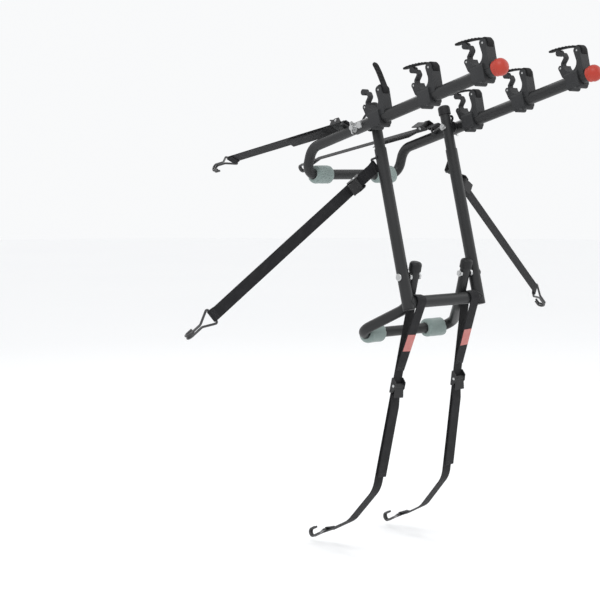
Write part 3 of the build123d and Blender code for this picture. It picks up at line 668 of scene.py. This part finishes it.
def web_mesh(name, strands, place, seed):
    """Webbing along lines that are drawn in the strap's own frame: y along, z out, x across."""
    half, flat, tip = WEB_WIDTH / 2, WEB_THICK / 2, WEB_THICK * SELVEDGE_SHARE
    rim = [(-half, 0), (-half + tip * 0.5, flat * 0.8), (-half + tip * 1.6, flat)]
    for k in range(1, WEB_COLUMNS):
        rim.append((-half + WEB_WIDTH * k / WEB_COLUMNS, flat * WEB_HOLLOW_SHARE))
    rim += [(half - tip * 1.6, flat), (half - tip * 0.5, flat * 0.8), (half, 0)]
    rim += [(x, -z) for x, z in rim[-2:0:-1]]
    mesh = bmesh.new()
    mark = mesh.verts.layers.float_vector.new("strap_place")
    for points in strands:
        line, at = even_steps(points, WEB_STEP)
        ends = [(end, (end - inner).normalized())
                for end, inner in ((line[0], line[1]), (line[-1], line[-2]))]
        rings = []
        for i, point in enumerate(line):
            back = from_seam(point, ends)
            along = (line[min(i + 1, len(line) - 1)] - line[max(i - 1, 0)]).normalized()
            out = Vector((1, 0, 0)).cross(along)
            sway = noise.noise(Vector((at[i] * SWAY_RATE, seed, 0))) * WEB_SWAY
            ring = []
            for x, z in rim:
                vert = mesh.verts.new(place @ (Vector((x + sway, 0, 0)) + point + out * z))
                vert[mark] = (x, at[i], back)
                ring.append(vert)
            rings.append(ring)
        join_rings(mesh, rings)
        mesh.faces.new(rings[0])
        mesh.faces.new(rings[-1])
    return finished_mesh(name, mesh)


def strap_place(start, end, outward):
    """A strap's own frame: x across it, y along it, z out of its outer face."""
    run = (end - start).normalized()
    out = (outward - run * outward.dot(run)).normalized()
    across = run.cross(out)
    return RACK @ Matrix.Translation(start) @ Matrix((across, run, out)).transposed().to_4x4()


def tie_line(run, skew):
    """A strap from a staple at the origin to a hook's bar, folded round each."""
    near, far = STAPLE_WIRE + WEB_SIT, HOOK_WIRE + WEB_SIT
    back, low = fold_corner(FOLD_END, near - FOLD_INSET, near + skew)
    front, deep = fold_corner(FOLD_END, far - FOLD_INSET, far)
    points = [(FOLD_END, near - FOLD_INSET), (back, low), (back, near), (run - front, far),
              (run - front, deep), (run - FOLD_END, far - FOLD_INSET)]
    radii = [FOLD_ROUND * near] * 2 + [FOLD_ROUND * far] * 2
    return rounded_line([Vector((0, y, z)) for y, z in points], radii)


def tail_line(start, length, middle, side):
    """A strap's loose end, which leaves the buckle beside the strap and stands off to one side."""
    height = side * TAIL_BESIDE
    off = height + side * TAIL_OFF
    points = [Vector((0, y, middle + z)) for y, z in (
        (start, height), (start + TAIL_BEND, off), (start + length, off))]
    return rounded_line(points, [TAIL_BEND])


def lower_line(skew):
    """A lower strap: a loop round the crossbar, a long drop, and a turn under the bumper."""
    stand, inset = TUBE_RADIUS + WEB_SIT, FOLD_INSET
    back, high = fold_corner(LOOP_SEWN, stand - inset, stand + skew)
    points = [(LOOP_SEWN, inset - stand), (back, -high), (back, -stand)]
    radii = [FOLD_ROUND * stand] * 2
    y, z, turn = 0.0, -stand, 0.0
    for run, bend, more in LOWER_RUNS:
        y += run * MM * math.cos(turn)
        z -= run * MM * math.sin(turn)
        if more:
            points.append((y, z))
            radii.append(bend * MM)
            turn += math.radians(more)
    ahead = Vector((0, math.cos(turn), -math.sin(turn)))
    out = Vector((0, math.sin(turn), math.cos(turn)))
    far = HOOK_WIRE + WEB_SIT
    front, deep = fold_corner(FOLD_END, far - inset, far)
    last = Vector((0, y, z))
    corner = last - ahead * front
    tail = [corner, corner - out * (far - deep), last - ahead * FOLD_END - out * inset]
    return rounded_line([Vector((0, *p)) for p in points] + tail, radii + [FOLD_ROUND * far] * 2)


webbing = webbing_finish()
HOOK_LENGTH = 66 * MM
ROLL, RISE = math.radians(27), math.radians(4.7)
DROP, SPLAY = math.radians(25.8), math.radians(3.4)
STAPLE_RISE = 20.1
SIDE_HOOK_OUT, SIDE_HOOK_AHEAD, SIDE_HOOK_DROP = 534, 78, 420
TOP_LENGTH, TOP_TAIL_START, TOP_TAIL = 411 * MM, 47.3 * MM, 150 * MM
LOWER_TAIL_START, LOWER_TAIL = 200.3 * MM, 186 * MM
top_bar = Vector((-138 + STAPLE_RISE * math.sin(ROLL), 56, STAPLE_RISE * math.cos(ROLL))) * MM
top_run = Vector((0, math.cos(RISE), math.sin(RISE)))
top_out = Vector((math.cos(ROLL), 0, -math.sin(ROLL))).cross(top_run)
side_bar = Vector((-108, 21, -82)) * MM
side_hook = Vector((
    -SIDE_HOOK_OUT * MM,
    (SIDE_HOOK_AHEAD * math.cos(LEAN) + SIDE_HOOK_DROP * math.sin(LEAN)) * MM,
    (SIDE_HOOK_AHEAD * math.sin(LEAN) - SIDE_HOOK_DROP * math.cos(LEAN)) * MM,
))
loop_bar = Vector((-80, 0, -CROSSBAR_DROP)) * MM
loop_run = Vector((-math.sin(SPLAY), math.sin(DROP), -math.cos(DROP)))
half_web = WEB_WIDTH / 2
strap_frames = {
    "top": (strap_place(top_bar, top_bar + top_run, top_out),
            [tie_line(TOP_LENGTH, half_web * math.sin(RISE) * math.sin(ROLL)),
             tail_line(TOP_TAIL_START, TOP_TAIL, STAPLE_WIRE + WEB_SIT, -1)], "arms"),
    "side": (strap_place(side_bar, side_hook, Vector((0, -1, 0))),
             [tie_line((side_hook - side_bar).length - HOOK_LENGTH, 0)], "main_frame"),
    "lower": (strap_place(loop_bar, loop_bar + loop_run, Vector((0, -math.cos(DROP), -math.sin(DROP)))),
              [lower_line(half_web * math.sin(SPLAY)),
               tail_line(LOWER_TAIL_START, LOWER_TAIL, -TUBE_RADIUS - WEB_SIT, 1)], "main_frame"),
}
MIRROR = Matrix.Scale(-1, 4, (1, 0, 0))
for kind, (place, strands, body) in strap_frames.items():
    for name, flip, seed in (("left", Matrix.Identity(4), 1.0), ("right", MIRROR, 7.0)):
        web = web_mesh(f"webbing_{kind}_{name}", strands, flip @ place, seed)
        piece(f"webbing_{kind}_{name}", web, webbing, body, "webbing", f"{kind}_strap_{name}")


# The side straps' staples are bent wire, and a small bead of weld runs round each leg where it meets
# the front of the upright.

LEG_REACH = 17 * MM
LEG_BEAD = 1.1 * MM
LEG_SEAM_GAP = 0.5 * MM
LEG_SEAM_POINTS = 36
leg_ring = STAPLE_WIRE + LEG_SEAM_GAP
side_across = (RACK.inverted() @ strap_frames["side"][0]).col[0].to_3d()
for end, way in (("upper", 1), ("lower", -1)):
    leg = side_bar + side_across * LEG_REACH * way
    seam = []
    for i in range(LEG_SEAM_POINTS):
        turn = math.tau * i / LEG_SEAM_POINTS
        x, z = leg.x + leg_ring * math.cos(turn), leg.z + leg_ring * math.sin(turn)
        depth = math.sqrt(max(0.0, TUBE_RADIUS ** 2 - (x + UPRIGHT_X) ** 2))
        seam.append(RACK @ Vector((x, depth, z)))
    for name, flip in (("left", Matrix.Identity(4)), ("right", MIRROR)):
        bead = weld_bead(f"staple_weld_{name}_{end}", [flip @ p for p in seam], LEG_BEAD)
        piece(f"staple_weld_{name}_{end}", bead, steel_coat, "main_frame", "black_tube")


# The cam buckles are pressed from dark plated steel: a channel with a floor and two cheeks, a pin,
# and a lever whose toothed drum bites the webbing. The pin's ends are headed over as bright rivets.

CHEEK_FACE = 14.8 * MM
RIVET_OUTLINE = [(0, 1.1), (3.1, 1.1), (3.1, -0.3), (0, -0.3)]
RIVET_ROUNDING = [1.0, 0.1]
RIVET_SIDES = 32
BUCKLE_DARK = (0.014, 0.014, 0.015, 1)
BUCKLE_BRIGHT = (0.22, 0.22, 0.22, 1)


def turned_line(outline, rounding):
    """An outline to be turned, in metres and with its corners rounded, from radii and heights in mm."""
    return rounded_line([Vector((0, r, h)) * MM for r, h in outline], [r * MM for r in rounding])


def buckle_plate():
    """Dark plated steel, bright where it is rubbed."""
    plate = Finish("dark_plated_steel", Specular_IOR_Level=0.4)
    cloud = plate.grain(120.0, 4.0)
    rubbed = (plate.edges(0.35 * MM) * 0.5 + (cloud - 0.6).clipped() * 1.5).clipped()
    plate.drive("Base Color", plate.mix(rubbed, BUCKLE_DARK, BUCKLE_BRIGHT))
    plate.drive("Metallic", 0.1 + rubbed * 0.8)
    plate.drive("Roughness", 0.42 - rubbed * 0.14 + cloud * 0.1)
    plate.relief(plate.grain(1300.0, 3.0), 0.00012, 0.5, 0.3 * MM)
    return plate.material


dress(buckle_plate(), *(f"{kind}_strap_buckles" for kind in strap_frames),
      *(f"{kind}_cam_lever_{name}" for kind in strap_frames for name in ("left", "right")))
rivet_line = turned_line(RIVET_OUTLINE, RIVET_ROUNDING)
for joint in frame["joints"]:
    if "cam_lever" not in joint["name"]:
        continue
    rivets = bmesh.new()
    for sign in (-1, 1):
        way = sign * Vector(joint["axis"])
        head = Matrix.Translation(Vector(joint["pos_m"]) + way * CHEEK_FACE)
        head = head @ way.to_track_quat("Z", "Y").to_matrix().to_4x4()
        turn_outline(rivets, rivet_line, head, RIVET_SIDES)
    name = joint["name"].replace("cam_lever", "rivets").replace("_lift", "")
    piece(name, finished_mesh(name, rivets), zinc, joint["parent"], "zinc_steel")


# Each strap ends in a hook of bent wire, dipped in black vinyl so that it doesn't mark the car.

DIP_BLACK = (0.016, 0.016, 0.017, 1)
DIP_SCUFF = (0.075, 0.075, 0.075, 1)


def dipped_vinyl():
    """Glossy dipped vinyl with scuffs and soft runs."""
    dip = Finish("dipped_vinyl", Coat_Roughness=0.2)
    scuff = (dip.grain(110.0, 5.0) - 0.5).clipped() * 2
    dip.drive("Base Color", dip.mix(scuff, DIP_BLACK, DIP_SCUFF))
    dip.drive("Roughness", 0.3 + scuff * 0.4)
    dip.drive("Coat Weight", 0.4 - scuff * 0.3)
    dip.relief(dip.grain(260.0, 3.0), 0.0005, 0.5)
    return dip.material


dress(dipped_vinyl(), *(f"{kind}_strap_hooks" for kind in strap_frames))


# A plain red cloth tag is sewn to the outer strand of each lower strap's loop. It is bare here.

TAG_RED = (0.42, 0.09, 0.08, 1)
TAG_PALE = (0.62, 0.3, 0.28, 1)


def tag_cloth():
    """Washed red tape with a fine plain weave."""
    cloth = Finish("red_tag_cloth", Sheen_Weight=0.2)
    threads = cloth.grain(1500.0, 2.0, stretch=(1, 0.3, 0.3))
    cloud = cloth.grain(90.0, 3.0)
    cloth.drive("Base Color", cloth.mix((threads * 0.6 + cloud * 0.4 - 0.1).clipped(), TAG_RED, TAG_PALE))
    cloth.drive("Roughness", 0.8 + threads * 0.1)
    cloth.relief(threads, 0.0003, 0.8)
    return cloth.material


dress(tag_cloth(), "strap_tags")


# The cradles are moulded of glass filled nylon in one piece round the arm, dull dark grey with a
# fine spark texture, and their curved buckles are of the same plastic.

NYLON_DARK = (0.016, 0.0165, 0.018, 1)
NYLON_GREY = (0.036, 0.037, 0.039, 1)
NYLON_PALE = (0.09, 0.09, 0.094, 1)


def nylon():
    """Dark moulded nylon with pale rubbed edges."""
    plastic = Finish("moulded_nylon", Specular_IOR_Level=0.3)
    cloud = plastic.grain(30.0, 4.0)
    rubbed = plastic.edges(0.5 * MM) * plastic.grain(300.0, 3.0) * 0.5
    colour = plastic.mix(cloud, NYLON_DARK, NYLON_GREY)
    plastic.drive("Base Color", plastic.mix(rubbed, colour, NYLON_PALE))
    plastic.drive("Roughness", 0.5 + cloud * 0.14)
    plastic.relief(plastic.grain(2200.0, 3.0, 0.7), 0.00022, 0.8, 0.9 * MM)
    return plastic.material


rows = [f"{name}_{row}" for name in ("left", "right") for row in (1, 2, 3)]
dress(nylon(), *(f"cradle_base_{row}" for row in rows), *(f"cradle_buckle_{row}" for row in rows))


# The ladder straps over the bike's tube are soft moulded rubber: a fat knuckle round the rear pin, and
# a strap with side rails, ratchet teeth in the pockets between them and a round tip. Closed ones droop
# a little past the buckle, and the first on the left stands open.

STRAP_HALF = 7.5 * MM
STRAP_FACE = 1.6 * MM
STRAP_EDGE = 0.6 * MM
STRAP_STEP = 0.55 * MM
TIP_LEAST_SHARE = 0.12
TIP_FACE_SHARE = 0.6
TIP_SKIN = 0.2 * MM
POCKET_HALF = 5.1 * MM
POCKET_FLOOR = 0.8 * MM
POCKET_START = 15 * MM
TOOTH_TOP = 2.9 * MM
TOOTH_PITCH = 8.5 * MM
TOOTH_COLUMNS = (-0.92, -0.3, 0.3, 0.92)
RAMP_SHARE, BACK_SHARE, TOOTH_SHARE = 0.3, 0.1, 0.55
KNUCKLE_RADIUS = 11.4 * MM
KNUCKLE_HALF = 7.9 * MM
KNUCKLE_EDGE = 1.4 * MM
REAR_HINGE = Vector((0, -23, 54)) * MM
ARM_X = 138 * MM
FIRST_CRADLE = 46 * MM
CRADLE_SPACING = 147.5 * MM
CLOSED_TURN, OPEN_TURN = math.radians(16), math.radians(78)
CLOSED_DROOP = [(0, 8.9), (34, 8.0), (60, 4.6), (80, -0.6)]
OPEN_DROOP = [(0, 8.9), (40, 7.2), (62, 3.6)]
DROOP_BEND = 150 * MM
RUBBER_BLACK = (0.008, 0.008, 0.009, 1)
RUBBER_BLOOM = (0.028, 0.028, 0.028, 1)


def ladder_rubber():
    """Matt rubber with a chalky bloom."""
    rubber = Finish("ladder_rubber", Specular_IOR_Level=0.2)
    bloom = (rubber.grain(140.0, 5.0) - 0.3).clipped()
    rubber.drive("Base Color", rubber.mix(bloom, RUBBER_BLACK, RUBBER_BLOOM))
    rubber.drive("Roughness", 0.62 + bloom * 0.25)
    rubber.relief(rubber.grain(1700.0, 3.0), 0.0002, 0.6)
    return rubber.material


def tooth_height(along, length):
    """The height of the strap's top between its rails: ratchet teeth that stand in pockets."""
    if along < POCKET_START or length - along < STRAP_HALF:
        return STRAP_FACE
    phase = (along - POCKET_START) / TOOTH_PITCH % 1
    ramp = min(1.0, phase / RAMP_SHARE) * min(1.0, max(0.0, (TOOTH_SHARE - phase) / BACK_SHARE))
    return POCKET_FLOOR + (TOOTH_TOP - POCKET_FLOOR) * ramp


def ladder_mesh(name, droop, place):
    """One ladder strap along its drooping middle line, in its hinge's frame: y along it, z up."""
    points = [Vector((0, y, z)) * MM for y, z in droop]
    line, at = even_steps(rounded_line(points, [DROOP_BEND] * (len(points) - 2)), STRAP_STEP)
    mesh = bmesh.new()
    rings = []
    for i, point in enumerate(line):
        along = (line[min(i + 1, len(line) - 1)] - line[max(i - 1, 0)]).normalized()
        out = Vector((1, 0, 0)).cross(along)
        left = min(at[-1] - at[i], STRAP_HALF)
        share = max(TIP_LEAST_SHARE, math.sqrt(max(0.0, 1 - (1 - left / STRAP_HALF) ** 2)))
        top = tooth_height(at[i], at[-1])
        tooth = min(top, top * share + TIP_SKIN)
        half, pocket = STRAP_HALF * share, POCKET_HALF * share
        face = STRAP_FACE * (TIP_FACE_SHARE + (1 - TIP_FACE_SHARE) * share)
        rail = [(-half, 0), (-half + STRAP_EDGE * 0.3, face * 0.7), (-half + STRAP_EDGE, face)]
        rim = rail + [(-pocket, face)]
        rim += [(pocket * x, tooth) for x in TOOTH_COLUMNS]
        rim += [(pocket, face)] + [(-x, z) for x, z in reversed(rail)]
        rim += [(x, -z) for x, z in (rim[-2], rim[-3], rim[2], rim[1])]
        rings.append([mesh.verts.new(place @ (Vector((x, 0, 0)) + point + out * z)) for x, z in rim])
    join_rings(mesh, rings)
    mesh.faces.new(rings[0])
    mesh.faces.new(rings[-1])
    knuckle = rounded_line([Vector(p) for p in (
        (0, 0, -KNUCKLE_HALF), (0, KNUCKLE_RADIUS, -KNUCKLE_HALF), (0, KNUCKLE_RADIUS, KNUCKLE_HALF),
        (0, 0, KNUCKLE_HALF))], [KNUCKLE_EDGE] * 2)
    turn_outline(mesh, knuckle, place @ Matrix.Rotation(math.radians(90), 4, "Y"))
    return finished_mesh(name, mesh)


rubber = ladder_rubber()
for side, sign in (("left", -1), ("right", 1)):
    for row in range(3):
        is_open = side == "left" and row == 0
        hinge = Matrix.Translation((sign * ARM_X, -FIRST_CRADLE - row * CRADLE_SPACING, 0))
        hinge = RACK @ hinge @ Matrix.Translation(REAR_HINGE)
        hinge = hinge @ Matrix.Rotation(OPEN_TURN if is_open else CLOSED_TURN, 4, "X")
        node = f"cradle_strap_{side}_{row + 1}"
        ladder = ladder_mesh(f"ladder_{side}_{row + 1}", OPEN_DROOP if is_open else CLOSED_DROOP, hinge)
        piece(f"ladder_{side}_{row + 1}", ladder, rubber, node, "ladder_rubber", node)


# Bright red caps close the outer ends of the arms: moulded soft plastic, a flag to whoever walks
# behind the car. Each is a domed head over a plain neck that grips the tube.

ARM_END = -392 * MM
CAP_OUTLINE = [(0, 9.0), (8.0, 9.0), (16.9, 0), (16.9, -9), (15.1, -10.8), (15.1, -18),
               (12.8, -18), (12.8, -0.1), (0, -0.1)]
CAP_ROUNDING = [13, 13, 1.6, 1.4, 0.9, 0.4, 0.4]
CAP_RED = (0.38, 0.021, 0.013, 1)
CAP_ORANGE = (0.46, 0.052, 0.028, 1)


def red_cap():
    """Semi gloss red, paler in patches where the sun has been at it."""
    red = Finish("moulded_red", Coat_Roughness=0.3, Specular_IOR_Level=0.35)
    cloud = red.grain(26.0, 4.0)
    red.drive("Base Color", red.mix(cloud, CAP_RED, CAP_ORANGE))
    red.drive("Roughness", 0.36 + cloud * 0.12)
    red.drive("Coat Weight", 0.12 - cloud * 0.05)
    red.relief(red.grain(1400.0, 3.0), 0.00018, 0.6)
    return red.material


caps = bmesh.new()
for sign in (-1, 1):
    arm_end = RACK @ Matrix.Translation((sign * ARM_X, ARM_END, 0))
    arm_end = arm_end @ Matrix.Rotation(math.radians(90), 4, "X")
    turn_outline(caps, turned_line(CAP_OUTLINE, CAP_ROUNDING), arm_end)
piece("red_caps", finished_mesh("red_caps", caps), red_cap(), "arms", "red_plastic", "arm_end_caps")
